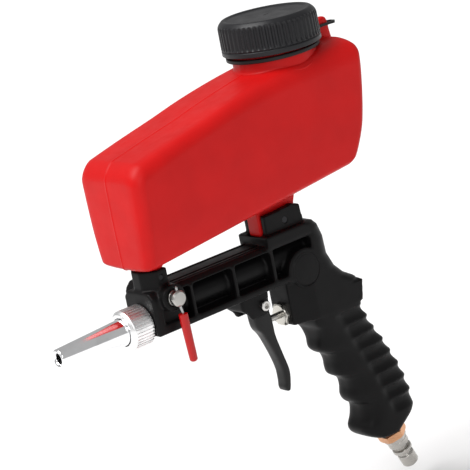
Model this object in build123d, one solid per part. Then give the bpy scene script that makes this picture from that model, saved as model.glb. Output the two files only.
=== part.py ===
from build123d import *
import os
from math import cos, radians, sin, tan

# Hand-held gravity-feed sand blasting gun, in millimetres.
# Origin: centre of the nozzle mouth, on the barrel axis.
# +X runs back along the barrel to the hand, +Z is up, -Y is the side with the sand lever.

# ---- driving sizes ----
BARREL_R = 3.5                  # air passage and jet bore in the barrel
MIX_R = 4.6                     # mixing chamber between the jet and the nozzle
BODY_FRONT, BODY_HALF = 64.0, 15.0
BODY_LOW, BODY_TOP, TOP_FLAT = -7.5, 19.8, 11.0
POCKET_LOW, POCKET_HIGH = -3.3, 16.3
POCKET_FRONT, POCKET_REAR, WEB_HALF = 87.5, 191.0, 4.0
TUBE_R, TUBE_Z = 8.8, 5.5       # round air tube that shows in the side pockets
RIB_X, RIB_T = (94.4, 127.6, 158.6), 2.3

NOZZLE_TIP_R, NOZZLE_R, NOZZLE_BORE_R = 6.1, 8.5, 3.3
NUT_FRONT, NUT_REAR, NUT_R = 47.6, 63.7, 13.0
NUT_FLUTES = 38
SPIGOT_FRONT, SPIGOT_R = 53.0, 10.8

SPINDLE_X, SPINDLE_Z, SPINDLE_R = 77.5, 14.3, 5.0
SPINDLE_NEAR, SPINDLE_FAR = -25.0, 19.0
GRUB_Y, GRUB_Z = 16.0, 12.6
BOSS_R, BOSS_NEAR, BOSS_FAR = 8.4, -19.5, 21.0
WIRE_Y, WIRE_R, SAND_R = -22.5, 1.1, 2.5

PIVOT_X, PIVOT_Z, SCREW_R = 148.5, -16.7, 2.0
TRIGGER_HALF, EAR_IN, EAR_OUT = 5.5, 6.0, 9.0
VALVE_Z, VALVE_FRONT, VALVE_R, PIN_R = -30.3, 168.5, 5.5, 2.2
HOUSE_HALF = 10.0

SPLIT_X, SPLIT_Z = 131.0, -38.0  # where the one moulding is parted into three nodes

RAKE = 24.0                     # grip and air inlet lean back from the vertical by this
INLET_X, INLET_Z = 235.5, -133.5
GRIP_HALF, RIB_PITCH, RIB_COUNT, GROOVE = 15.0, 10.1, 8, 1.8

WALL = 2.0                      # blow-moulded hopper wall
NECK_X, NECK_R, NECK_TOP = 201.3, 26.5, 153.4
CAP_R, CAP_LOW, CAP_TOP, CAP_BORE = 31.8, 137.0, 158.6, 28.6
CAP_FLUTES = 52
LUG_HALF = 2.6

FOOT_SCREW_X = 75.5
FORK_HALF = 11.0
FOOT_PIN_X, FOOT_PIN_Z = 176.6, 31.3
GAP = 0.05                      # running clearance of a shaft in its hole
FREE = 0.3                      # clearance between other moving faces


# ---- shape helpers ----
def block(x0, x1, y0, y1, z0, z1):
    """A box given by its limits."""
    return Pos((x0 + x1) / 2, (y0 + y1) / 2, (z0 + z1) / 2) * Box(x1 - x0, y1 - y0, z1 - z0)


def rod_x(x0, x1, r, y=0.0, z=0.0):
    """A round bar along X."""
    return Pos((x0 + x1) / 2, y, z) * Rot(0, 90, 0) * Cylinder(r, x1 - x0)


def rod_y(y0, y1, r, x, z):
    """A round bar along Y."""
    return Pos(x, (y0 + y1) / 2, z) * Rot(90, 0, 0) * Cylinder(r, y1 - y0)


def rod_z(z0, z1, r, x=0.0, y=0.0):
    """A round bar along Z."""
    return Pos(x, y, (z0 + z1) / 2) * Cylinder(r, z1 - z0)


def outline(corners):
    """A closed outline with a radius at each (across, up, radius) corner."""
    points = [(across, up) for across, up, _ in corners]
    return make_face(FilletPolyline(*points, radius=[r for _, _, r in corners], close=True))


def side_slab(corners, half):
    """An XZ outline made 2 * half thick about the Y = 0 plane."""
    return extrude(Plane.XZ * outline(corners), half, both=True)


def turned_x(profile):
    """A solid of revolution about the barrel axis from (x, radius) corners."""
    face = make_face(Polyline(*profile, close=True))
    return revolve(face, axis=Axis.X)


def inlet_frame(along):
    """The plane square to the grip axis, a distance below the inlet's hexagon centre."""
    lean = radians(RAKE)
    return Plane(
        origin=(INLET_X + along * sin(lean), 0, INLET_Z - along * cos(lean)),
        x_dir=(cos(lean), 0, sin(lean)),
        z_dir=(sin(lean), 0, -cos(lean)),
    )


def inlet_rod(a0, a1, r):
    """A round bar along the grip axis between two distances from the hexagon centre."""
    return inlet_frame((a0 + a1) / 2).location * Cylinder(r, a1 - a0)


# ---- gun body: one moulding, parted into three nodes that meet face to face ----
def beam():
    """The barrel beam with its chamfered top, hollowed at the sides around the air tube."""
    h, t, step = BODY_HALF, TOP_FLAT, BODY_HALF - TOP_FLAT
    section = make_face(Polyline(
        (-h, BODY_LOW), (h, BODY_LOW), (h, BODY_TOP - step), (t, BODY_TOP),
        (-t, BODY_TOP), (-h, BODY_TOP - step), close=True))
    length = 205.0 - BODY_FRONT
    bar = Pos(BODY_FRONT, 0, 0) * extrude(Plane.YZ * section, length)
    bar -= rear_trim()
    for side in (-1, 1):
        y0, y1 = sorted((side * WEB_HALF, side * (h + 1)))
        pocket = block(POCKET_FRONT, POCKET_REAR, y0, y1, POCKET_LOW, POCKET_HIGH)
        y0, y1 = sorted((side * (h - 3.0), side * (h + 1)))
        pocket += block(70.5, 92.0, y0, y1, -1.5, 15.0)
        pocket -= rod_x(BODY_FRONT, 205, TUBE_R, 0, TUBE_Z)
        pocket -= rod_y(-h, h, 14.0, 182.9, -3.6)
        for x in RIB_X:
            pocket -= block(x - RIB_T / 2, x + RIB_T / 2, -h + 0.6, h - 0.6, -10, 20)
        bar -= pocket
    return bar


def rear_trim():
    """Rounds the top rear corner of the beam down to the hollow over the hand."""
    keep = side_slab([(60, -12, 0), (211, -12, 0), (206.4, 5, 8), (206.4, 16.5, 5),
                      (193.5, 31, 0), (193.5, 45, 0), (60, 45, 0)], 40)
    return block(150, 260, -40, 40, -9, 46) - keep


def socket_outline(inset):
    """Plan of the front socket, whose front corners are cut off, or of what stands inside it."""
    k = inset
    return make_face(Polyline(
        (65.5 + k, -4 + 0.4 * k), (65.5 + k, 4 - 0.4 * k), (72 + 0.5 * k, 13 - k),
        (80.5 - k, 13 - k), (80.5 - k, -13 + k), (72 + 0.5 * k, -13 + k), close=True))


def brackets():
    """Front socket and rear fork that hold the hopper's two feet."""
    front = Pos(0, 0, BODY_TOP - 1) * extrude(Plane.XY * socket_outline(0.0), 32.5 - BODY_TOP + 1)
    fork = side_slab([(160.7, 18, 0), (160.7, 37.9, 0.5), (179.5, 38.9, 1), (183.9, 39.7, 1),
                      (190.4, 37.6, 1), (191.2, 18, 0)], FORK_HALF)
    fork += side_slab([(157, 18, 0), (157, 25.8, 1), (194, 25.8, 6), (203.6, 22.5, 5),
                       (205.9, 8, 0), (200, 3, 0), (192, 18, 0)], BODY_HALF)
    fork -= block(157.5, 195, -6.3, 6.3, 20.6, 45)
    return front + fork


def hub_and_housing():
    """Rear hub over the hand, and the block that holds the air valve."""
    hub = side_slab([(168.5, -6, 0), (173, 2, 0), (192, 3, 0), (199.5, 18, 6), (206, 9.2, 0),
                     (206.9, 0.2, 12), (211.3, -10, 18), (218, -17.3, 14), (226.8, -22.9, 1.5),
                     (223.8, -38.4, 3), (222, -60, 0), (192, -60, 0), (183, -42, 4),
                     (181, -37.6, 2), (VALVE_FRONT, -37.6, 1)], BODY_HALF)
    for side in (-1, 1):
        taper = make_face(Polyline((150, side * HOUSE_HALF), (VALVE_FRONT, side * HOUSE_HALF),
                                   (188, side * 15.5), (150, side * 15.5), close=True))
        hub -= Pos(0, 0, -60) * extrude(Plane.XY * taper, 51)
    ring = Pos(182.9, 0, -3.6) * Rot(90, 0, 0)
    groove = ring * (Cylinder(10.9, 40) - Cylinder(10.1, 41))
    core = block(160, 230, -BODY_HALF + 0.5, BODY_HALF - 0.5, -40, 30)
    return hub - (groove - core)


def ears():
    """The two ears under the beam that carry the trigger."""
    pair = side_slab([(132, BODY_LOW + 1, 0), (132, -15.4, 1.5), (136.5, -19.5, 1.5),
                      (138.5, -23.5, 1.5), (152.5, -23.5, 3), (154.5, BODY_LOW + 1, 0)], EAR_OUT)
    return pair - block(133.8, 170, -EAR_IN, EAR_IN, -30, BODY_LOW)


def grip_form(inset):
    """The grip without ribs: its side outline, rounded across by a lofted section."""
    k = inset
    side = side_slab([
        (188 + k, -36, 0), (188.2 + k, -54, 0), (187.6 + k, -62.5, 2.5), (195.9 + k, -67.5, 6),
        (197.2 + k, -74, 5), (196.7 + k, -83, 2.5), (205.2 + k, -88.5, 6), (207.8 + k, -96, 5),
        (206.2 + k, -103.4, 2.5), (214.3 + k, -109.5, 5), (214.5 + k, -118, 5),
        (208.5 + k, -126.2, 1.5), (211.5, -131.5, 2), (225.1, -138.1, 3), (246.5, -133.4, 4),
        (256.4 - k, -126.5, 5), (257 - k, -112, 10), (229.5 - k, -46, 0), (222 - k, -36, 0)], 20)
    start = inlet_frame(-120)
    section = Pos(8.5, 0) * RectangleRounded(49 - 2 * k, 2 * (GRIP_HALF - k), 12 - k)
    bar = extrude(start * section, 140)
    return side & bar


def grip():
    """The raked grip with finger grooves in front and level ribs round the back."""
    form = grip_form(0.0)
    core = grip_form(GROOVE)
    cuts = None
    for i in range(RIB_COUNT):
        z = -43.2 - RIB_PITCH * i
        x = 197 + (z + 43.2) * -tan(radians(RAKE)) - 0.9 * max(0, i - 5)
        slot = block(x, 275, -20, 20, z - 5.6, z)
        cuts = slot if cuts is None else cuts + slot
    return form - (cuts - core)


def moulding():
    """The whole moulding with its bosses, passages and holes."""
    body = beam() + brackets() + hub_and_housing() + ears() + grip()
    body += rod_y(BOSS_NEAR, BOSS_FAR, BOSS_R, SPINDLE_X, SPINDLE_Z)
    body += rod_x(SPIGOT_FRONT, BODY_FRONT + 1, SPIGOT_R)
    body -= Pos(0, 0, 20.0) * extrude(Plane.XY * socket_outline(2.0), 13)
    body -= rod_x(SPIGOT_FRONT - 1, 84.0, MIX_R)
    body -= rod_x(83.0, 178.0, BARREL_R + 1.0)
    body -= rod_y(-30, SPINDLE_FAR + FREE, SPINDLE_R + GAP, SPINDLE_X, SPINDLE_Z)
    body -= rod_z(0, SPINDLE_Z, SAND_R, SPINDLE_X)
    chute = Plane(origin=(SPINDLE_X, 0, SPINDLE_Z), x_dir=(0, 1, 0), z_dir=(-4, 0, 6.7))
    body -= extrude(chute * Circle(SAND_R), 9)
    for y in (-12.5, 12.5):
        body -= rod_y(y - 1.1, y + 1.1, SPINDLE_R + 1.6, SPINDLE_X, SPINDLE_Z)
    body -= rod_x(60, SPINDLE_X, 1.2, GRUB_Y, GRUB_Z)
    body -= rod_y(-20, 20, 1.5, FOOT_SCREW_X, 27.2)
    body -= rod_y(-20, 20, SCREW_R + 0.02, FOOT_PIN_X, FOOT_PIN_Z)
    body -= rod_y(-20, 20, SCREW_R + 0.02, PIVOT_X, PIVOT_Z)
    body -= rod_x(VALVE_FRONT - 1, 197, VALVE_R, 0, VALVE_Z)
    body -= rod_z(VALVE_Z, 0, 2.5, 176.5)
    body -= inlet_rod(-111, 0, BARREL_R)
    body -= inlet_rod(-22, 12, 6.6)
    body -= inlet_rod(3.4, 12, 11.5)
    return body


BODY = moulding()


def barrel_housing():
    """The moulding's front: the beam ahead of the ears, with the front socket."""
    return BODY & block(40, SPLIT_X, -40, 40, -40, 60)


def gun_body():
    """The moulding's middle: ears, fork, hub and valve housing."""
    return BODY & block(SPLIT_X, 270, -40, 40, SPLIT_Z, 60)


def hand_grip():
    """The moulding's grip below the hub."""
    return BODY & block(150, 270, -40, 40, -160, SPLIT_Z)


# ---- barrel parts ----
def blast_nozzle():
    """Tapered nozzle with a clamping flange and a funnel-shaped rear mouth."""
    return turned_x([
        (0.6, NOZZLE_BORE_R), (0, NOZZLE_BORE_R + 0.6), (0, NOZZLE_TIP_R - 0.5), (0.5, NOZZLE_TIP_R),
        (NUT_FRONT, NOZZLE_R), (49.5, NOZZLE_R), (49.5, 10.4), (52.0, 10.4), (52.0, MIX_R),
        (46.0, MIX_R), (38.0, NOZZLE_BORE_R)])


def nozzle_seal():
    """Flat ring between the nozzle flange and the body's threaded spigot."""
    return rod_x(52.0, SPIGOT_FRONT - 0.1, 10.0) - rod_x(51, 54, MIX_R + 0.2)


def nozzle_nut():
    """Fluted hand nut that clamps the nozzle flange."""
    nut = turned_x([
        (NUT_FRONT, NOZZLE_R + 0.4), (NUT_FRONT, 11.4), (NUT_FRONT + 1.6, NUT_R),
        (NUT_REAR, NUT_R), (NUT_REAR, SPIGOT_R + FREE), (49.2, SPIGOT_R + FREE),
        (49.2, NOZZLE_R + 0.4)])
    flute = rod_x(NUT_FRONT + 2.6, NUT_REAR + 1, 0.62, 0, NUT_R + 0.15)
    for i in range(NUT_FLUTES):
        nut -= Rot(360 / NUT_FLUTES * i, 0, 0) * flute
    return nut


def air_jet():
    """Brass jet that blows through the mixing chamber into the nozzle."""
    r = BARREL_R + 1.0 - GAP
    return turned_x([(81.0, 1.6), (81.0, 2.6), (85.5, r), (97.0, r), (97.0, 3.2), (84.0, 1.6)])


def jet_seal():
    """Sealing ring behind the jet."""
    return rod_x(97.0, 98.5, BARREL_R + 1.0 - GAP) - rod_x(96, 99, 3.2)


# ---- sand valve ----
def sand_valve_spindle():
    """Turning plug with a cross hole for the sand, worked by the wire lever."""
    pin = rod_y(SPINDLE_NEAR, SPINDLE_FAR, SPINDLE_R, SPINDLE_X, SPINDLE_Z)
    ends = pin.faces().filter_by(Axis.Y).sort_by(Axis.Y)
    pin = chamfer(ends[0].edges(), 0.6)
    groove = rod_y(GRUB_Y - 1.4, GRUB_Y + 1.4, 6, SPINDLE_X, SPINDLE_Z)
    pin -= groove - rod_y(14, 18, 3.8, SPINDLE_X, SPINDLE_Z)
    pin -= rod_z(0, 30, SAND_R, SPINDLE_X)
    return pin - rod_z(0, 30, WIRE_R, SPINDLE_X, WIRE_Y)


def spindle_seals():
    """Two rings in the body's grooves around the spindle."""
    rings = []
    for y in (-12.5, 12.5):
        ring = rod_y(y - 1, y + 1, SPINDLE_R + 1.5, SPINDLE_X, SPINDLE_Z)
        rings.append(ring - rod_y(y - 2, y + 2, SPINDLE_R + GAP, SPINDLE_X, SPINDLE_Z))
    return Compound(children=rings)


def spindle_grub_screw():
    """Small set screw in the far boss whose tip stands in the spindle's groove."""
    screw = rod_x(70.4, SPINDLE_X - 4.2, 1.15, GRUB_Y, GRUB_Z)
    return screw - rod_x(70, 71.6, 0.6, GRUB_Y, GRUB_Z)


def lever_wire():
    """Wire through the spindle, standing just proud above and reaching down into the sleeve."""
    return rod_z(-25, SPINDLE_Z + 7.6, WIRE_R - 0.02, SPINDLE_X, WIRE_Y)


def lever_sleeve():
    """Dipped vinyl sleeve on the lower part of the wire."""
    grip_part = Pos(SPINDLE_X, WIRE_Y, -11.5) * Cone(2.5, 3.0, 31)
    end = Pos(SPINDLE_X, WIRE_Y, -27) * Sphere(2.5)
    sleeve = (grip_part + end) & block(60, 95, -30, -15, -27.8, 3.5)
    return sleeve - rod_z(-25, 5, WIRE_R, SPINDLE_X, WIRE_Y)


# ---- trigger and air valve ----
def trigger():
    """Curved trigger lever with a narrow head between the ears."""
    blade = side_slab([
        (143.2, -9.6, 3), (153.2, -9.6, 3), (156.3, -20, 3), (157, -34, 12), (157.4, -41, 16),
        (160.6, -56, 25), (162.6, -67.5, 8), (161.4, -74, 3), (159.9, -79.4, 1.6),
        (156.4, -78.4, 1.2), (157.0, -66, 12), (152.2, -49, 30), (143.9, -32, 5),
        (143.2, -26, 2)], 11)
    head = block(140, 170, -TRIGGER_HALF, TRIGGER_HALF, -27, 0)
    pad = block(140, 170, -5.3, 5.3, -90, -27)
    lever = blade & (head + pad)
    return lever - rod_y(-12, 12, SCREW_R + GAP, PIVOT_X, PIVOT_Z)


def trigger_screw():
    """Socket-head pivot screw."""
    head = rod_y(-EAR_OUT - 3.2, -EAR_OUT, 3.35, PIVOT_X, PIVOT_Z)
    socket = Plane(origin=(PIVOT_X, -EAR_OUT - 3.3, PIVOT_Z), x_dir=(1, 0, 0), z_dir=(0, 1, 0))
    head -= extrude(socket * RegularPolygon(1.75, 6), 1.9)
    return head + rod_y(-EAR_OUT, EAR_OUT + 3.4, SCREW_R, PIVOT_X, PIVOT_Z)


def trigger_nut():
    """Hexagon nut on the pivot screw's far end."""
    face = Plane(origin=(PIVOT_X, EAR_OUT, PIVOT_Z), x_dir=(1, 0, 0), z_dir=(0, 1, 0))
    nut = extrude(face * RegularPolygon(4.0, 6), 2.8)
    return nut - rod_y(0, 20, SCREW_R, PIVOT_X, PIVOT_Z)


def valve_pin():
    """Push pin from the trigger to the poppet."""
    return rod_x(157.7, 180.9, PIN_R, 0, VALVE_Z)


def valve_nut():
    """Hexagon gland nut that closes the valve bore and guides the pin."""
    face = Plane(origin=(165.5, 0, VALVE_Z), x_dir=(0, 1, 0), z_dir=(1, 0, 0))
    nut = extrude(face * RegularPolygon(8.1, 6, rotation=30), 3.0)
    nut += rod_x(VALVE_FRONT, 174.0, VALVE_R - GAP, 0, VALVE_Z)
    nut -= rod_x(171.0, 175.0, 4.0, 0, VALVE_Z)
    return nut - rod_x(160, 175, PIN_R + GAP, 0, VALVE_Z)


def valve_nut_seal():
    """Gland ring round the pin, held in the back of the nut."""
    return rod_x(171.0, 173.4, 3.95, 0, VALVE_Z) - rod_x(170, 175, PIN_R + GAP, 0, VALVE_Z)


def valve_seat():
    """Brass seat ring that the poppet closes against."""
    return rod_x(178.5, 181.3, VALVE_R - GAP, 0, VALVE_Z) - rod_x(178, 182, 3.2, 0, VALVE_Z)


def valve_poppet():
    """Poppet disc that shuts the air off, with a stub for its spring."""
    return rod_x(181.4, 184.0, 4.6, 0, VALVE_Z) + rod_x(184.0, 187.0, 2.0, 0, VALVE_Z)


def valve_spring():
    """Return spring of the poppet, as coils about the valve axis."""
    coils = Helix(pitch=2.4, height=11.2, radius=3.3)
    wire = sweep(Plane(origin=coils @ 0, z_dir=coils % 0) * Circle(0.45), path=coils, is_frenet=True)
    return Pos(184.8, 0, VALVE_Z) * Rot(0, 90, 0) * wire


# ---- air inlet ----
def hex_bar(a0, a1, across_corners_r):
    """A hexagon bar along the grip axis."""
    return extrude(inlet_frame(a0) * RegularPolygon(across_corners_r, 6), a1 - a0)


def air_inlet_fitting():
    """Brass bushing screwed into the foot of the grip."""
    part = inlet_rod(-20, 3.4, 6.5) + hex_bar(3.4, 8.6, 10.4)
    return part - inlet_rod(-21, 9, 4.5)


def inlet_seal():
    """Thread seal ring above the brass bushing."""
    return inlet_rod(-21.9, -20.1, 6.5) - inlet_rod(-23, -19, 4.5)


def air_plug():
    """Quick-release plug: threaded tail, hexagon, locking groove and nose."""
    part = inlet_rod(-6, 8.7, 4.45) + hex_bar(8.7, 12.6, 8.2) + inlet_rod(12.6, 17.4, 7.2)
    part += inlet_rod(17.4, 20.2, 4.9) + inlet_rod(20.2, 23.2, 6.9)
    part += inlet_rod(23.2, 26.0, 4.6) + inlet_rod(26.0, 35.4, 5.85)
    return part - inlet_rod(-7, 36, 2.6)


# ---- hopper ----
def hopper_form(inset):
    """Outer or inner form of the tank: side, end and plan outlines taken together."""
    k = inset
    side = side_slab([
        (58.4 + k, 36.4 + k, 3), (226 - k, 54.8 + k, 4), (234.6 - k, 62, 8), (241.6 - k, 84, 60),
        (247.4 - k, 118, 12), (239 - k, 134 - k, 8), (175, 125.2 - k, 60),
        (118, 114.4 - k, 80), (59.4 + k, 101.0 - k, 5)], 45)
    end = Plane.YZ * outline([
        (-25.8 + k, 25, 0), (-30.0 + k, 60, 60), (-31.2 + k, 90, 60), (-31.2 + k, 150, 0),
        (31.2 - k, 150, 0), (31.2 - k, 90, 60), (30.0 - k, 60, 60), (25.8 - k, 25, 0)])
    plan = Pos(152.7, 0) * RectangleRounded(189.4 - 2 * k, 62.6 - 2 * k, 7 - k)
    crown = Plane.YZ * make_face(
        ThreePointArc((-34 + k, 91.5 - k), (0, 100.6 - k), (34 - k, 91.5 - k))
        + Line((34 - k, 91.5 - k), (34 - k, -90)) + Line((34 - k, -90), (-34 + k, -90))
        + Line((-34 + k, -90), (-34 + k, 91.5 - k)))
    roof = extrude(Pos(50, 0, -1.6) * crown, 210, dir=(cos(radians(10.7)), 0, sin(radians(10.7))))
    form = side & (Pos(50, 0, 0) * extrude(end, 200))
    return form & (Pos(0, 0, 20) * extrude(Plane.XY * plan, 130)) & roof


def hopper():
    """Hollow tank with its threaded neck, outlet foot, rear foot and cap-strap lug."""
    tank = hopper_form(0.0) + rod_z(112, NECK_TOP, NECK_R, NECK_X)
    for z in (141.5, 146.0):
        tank += rod_z(z, z + 1.6, NECK_R + 1.4, NECK_X)
    foot_top = Plane.XY.offset(39.5) * (Pos(73.4, 0) * Rectangle(22, 38))
    foot_mid = Plane.XY.offset(33.2) * (Pos(72.8, 0) * Rectangle(10.2, 21.6))
    tank += loft([foot_mid, foot_top])
    tank += Pos(0, 0, 21.0) * extrude(Plane.XY * socket_outline(2.15), 12.4)
    tank += block(159.4, 190.2, -6.0, 6.0, 24.0, 52.5)
    tank += side_slab([(239, 128, 0), (240.5, 140, 0), (243.3, 147.5, 3.2), (248.6, 147.5, 3.2),
                       (250.8, 137.5, 2), (246.5, 128, 0)], LUG_HALF)
    cavity = hopper_form(WALL) + rod_z(110, NECK_TOP + 1, NECK_R - 2.2, NECK_X)
    cavity += rod_z(20, 45, 3.4, 73.4)
    tank -= cavity
    tank -= rod_y(-12, -6.5, 1.1, FOOT_SCREW_X, 27.2) + rod_y(6.5, 12, 1.1, FOOT_SCREW_X, 27.2)
    return tank - rod_y(-20, 20, SCREW_R, FOOT_PIN_X, FOOT_PIN_Z)


def hopper_outlet_seal():
    """Gasket under the outlet foot."""
    plate = Pos(0, 0, 20.0) * extrude(Plane.XY * socket_outline(2.2), 1.0)
    return plate - rod_z(19, 22, 3.6, 73.4)


def front_foot_screws():
    """One self-tapping screw each side, through the socket wall into the outlet foot."""
    screws = []
    for side in (-1, 1):
        y = sorted((side * 6.6, side * 11.0))
        shank = rod_y(y[0], y[1], 1.1, FOOT_SCREW_X, 27.2)
        y = sorted((side * 11.0, side * 12.4))
        screws.append(shank + rod_y(y[0], y[1], 1.45, FOOT_SCREW_X, 27.2))
    return Compound(children=screws)


def rear_foot_pin():
    """Cross pin through the fork and the rear foot."""
    return rod_y(-FORK_HALF + 0.4, FORK_HALF - 0.4, SCREW_R, FOOT_PIN_X, FOOT_PIN_Z)


def hopper_cap():
    """Fluted screw cap with a plain lower band and a dished top."""
    cap = rod_z(CAP_LOW, CAP_TOP, CAP_R, NECK_X)
    cap = fillet(cap.faces().sort_by(Axis.Z)[-1].edges(), 2.8)
    cap -= rod_z(CAP_TOP - 0.8, CAP_TOP + 1, CAP_R - 5.5, NECK_X)
    cap -= rod_z(CAP_LOW - 1, 155.6, CAP_BORE, NECK_X)
    flute = rod_z(CAP_LOW + 4.2, 155.1, 0.9, CAP_R + 0.25)
    for i in range(CAP_FLUTES):
        cap -= Pos(NECK_X, 0, 0) * Rot(0, 0, 360 / CAP_FLUTES * i) * flute
    return cap


def cap_seal():
    """Seal disc between the cap and the neck's rim."""
    return rod_z(NECK_TOP + 0.1, 155.5, CAP_BORE - 0.3, NECK_X)


def cap_tether():
    """Ring round the neck and the strap that buttons over the lug behind it."""
    ring = rod_z(133.4, 136.4, 30.0, NECK_X) - rod_z(133, 137, NECK_R + 0.2, NECK_X)
    strap = side_slab([(229.5, 134.8, 0), (234.2, 134.8, 2), (238, 139.4, 2), (254.6, 139.4, 0),
                       (254.6, 141, 0), (237.2, 141, 2), (233.4, 136.4, 2), (229.5, 136.4, 0)], 4.0)
    strap -= block(240, 251, -LUG_HALF - FREE, LUG_HALF + FREE, 138, 143)
    return ring + strap - hopper_form(-0.1)


PARTS = {
    "barrel_housing": barrel_housing, "gun_body": gun_body, "hand_grip": hand_grip,
    "blast_nozzle": blast_nozzle, "nozzle_seal": nozzle_seal,
    "nozzle_nut": nozzle_nut, "air_jet": air_jet, "jet_seal": jet_seal,
    "sand_valve_spindle": sand_valve_spindle, "spindle_seals": spindle_seals,
    "spindle_grub_screw": spindle_grub_screw, "lever_wire": lever_wire,
    "lever_sleeve": lever_sleeve, "trigger": trigger, "trigger_screw": trigger_screw,
    "trigger_nut": trigger_nut, "valve_pin": valve_pin, "valve_nut": valve_nut,
    "valve_nut_seal": valve_nut_seal, "valve_seat": valve_seat, "valve_poppet": valve_poppet,
    "valve_spring": valve_spring, "air_inlet_fitting": air_inlet_fitting,
    "inlet_seal": inlet_seal, "air_plug": air_plug, "hopper": hopper,
    "hopper_outlet_seal": hopper_outlet_seal, "front_foot_screws": front_foot_screws,
    "rear_foot_pin": rear_foot_pin, "hopper_cap": hopper_cap, "cap_seal": cap_seal,
    "cap_tether": cap_tether,
}

os.makedirs("parts", exist_ok=True)
for name, make in PARTS.items():
    export_step(make(), f"parts/{name}.step")
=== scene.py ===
"""Looks of a hand-held gravity-feed sand blasting gun, laid out as an add-on and run as a script.

Every size is in millimetres in the gun's own frame (origin at the nozzle's mouth, +X back along the
barrel, +Z up) and becomes metres when a mesh is made. Surfaces are worked out as whole arrays.
"""
import math

import bmesh
import bpy
import numpy as np
from bpy.props import FloatProperty, FloatVectorProperty, IntProperty, PointerProperty
from mathutils import Matrix, Vector


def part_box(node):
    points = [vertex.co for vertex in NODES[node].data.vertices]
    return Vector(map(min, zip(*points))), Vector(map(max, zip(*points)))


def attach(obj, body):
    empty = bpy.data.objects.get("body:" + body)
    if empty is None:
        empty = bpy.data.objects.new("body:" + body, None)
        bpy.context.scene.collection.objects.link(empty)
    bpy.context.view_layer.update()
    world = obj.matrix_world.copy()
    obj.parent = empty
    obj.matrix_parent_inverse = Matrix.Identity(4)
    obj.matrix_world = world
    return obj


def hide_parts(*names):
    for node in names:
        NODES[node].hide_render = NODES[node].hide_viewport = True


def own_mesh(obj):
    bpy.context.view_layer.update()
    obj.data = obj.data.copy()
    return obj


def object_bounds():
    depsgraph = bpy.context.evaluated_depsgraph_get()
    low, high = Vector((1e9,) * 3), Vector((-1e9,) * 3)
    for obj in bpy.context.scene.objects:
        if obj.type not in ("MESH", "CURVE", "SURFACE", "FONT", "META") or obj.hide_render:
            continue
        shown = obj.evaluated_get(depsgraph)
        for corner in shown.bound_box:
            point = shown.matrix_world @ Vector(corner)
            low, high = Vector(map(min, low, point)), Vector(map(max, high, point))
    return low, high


bl_info = {
    "name": "Sand Blasting Gun",
    "version": (1, 0, 0),
    "blender": (4, 5, 0),
    "location": "3D View > Sidebar > Blast Gun",
    "description": "Builds the visible surfaces and finishes of a hopper-fed sand blasting gun",
    "category": "Add Mesh",
}

MM = 0.001
BODY_JOINT = 0.131              # where the frame's barrel and hub halves meet, in metres
BODY_HALF = 15.0                # half the body's width
NECK_R, NECK_BORE = 26.5, 24.3
OVERLAP = 0.001                 # how far the barrel half reaches into the hub half, in metres
GRIP_SIDES = 200

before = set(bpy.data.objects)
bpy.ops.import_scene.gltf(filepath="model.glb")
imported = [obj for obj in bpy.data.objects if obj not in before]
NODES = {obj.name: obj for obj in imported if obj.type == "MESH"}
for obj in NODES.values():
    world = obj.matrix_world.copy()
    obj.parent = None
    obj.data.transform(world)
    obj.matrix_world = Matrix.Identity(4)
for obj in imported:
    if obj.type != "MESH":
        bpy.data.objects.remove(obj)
CAD_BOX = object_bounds()

# ---- places taken from the frame, in millimetres ----


def node_box(node):
    """Lowest and highest corner of a node as two arrays."""
    low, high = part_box(node)
    return np.array(low) / MM, np.array(high) / MM


RAKE = math.radians(24.0)
GRIP_AXIS = np.array([math.sin(RAKE), 0.0, -math.cos(RAKE)])
INLET = np.array([235.5, 0.0, -133.5])
SPINDLE_LOW, SPINDLE_HIGH = node_box("sand_valve_spindle")
SPINDLE = (SPINDLE_LOW + SPINDLE_HIGH) / 2
CAP_LOW, CAP_HIGH = node_box("hopper_cap")
CAP_CENTRE = (CAP_LOW + CAP_HIGH) / 2
CAP_R = (CAP_HIGH[0] - CAP_LOW[0]) / 2
NUT_LOW, NUT_HIGH = node_box("nozzle_nut")
SCREW_LOW, SCREW_HIGH = node_box("trigger_screw")
PIVOT = (SCREW_LOW + SCREW_HIGH) / 2
GLAND_LOW, GLAND_HIGH = node_box("valve_nut")
SEAL_LOW = node_box("cap_seal")[0]
WIRE_LOW, WIRE_HIGH = node_box("lever_wire")
WIRE = (WIRE_LOW + WIRE_HIGH) / 2


# ---- array helpers ----
def smooth_curve(points, count):
    """Points through the given corners: a Catmull-Rom curve, evenly stepped in corner number."""
    p = np.asarray(points, float)
    p = np.vstack([2 * p[0] - p[1], p, 2 * p[-1] - p[-2]])
    t = np.linspace(0, len(p) - 3, count)
    i = np.minimum(t.astype(int), len(p) - 4)
    f = (t - i)[:, None]
    a, b, c, d = p[i], p[i + 1], p[i + 2], p[i + 3]
    return 0.5 * (2 * b + (c - a) * f + (2 * a - 5 * b + 4 * c - d) * f ** 2
                  + (3 * b - a - 3 * c + d) * f ** 3)


def ease(x, start, end):
    """0 before start, 1 after end, a smooth cubic step between."""
    t = np.clip((np.asarray(x, float) - start) / (end - start), 0, 1)
    return t * t * (3 - 2 * t)


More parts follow.
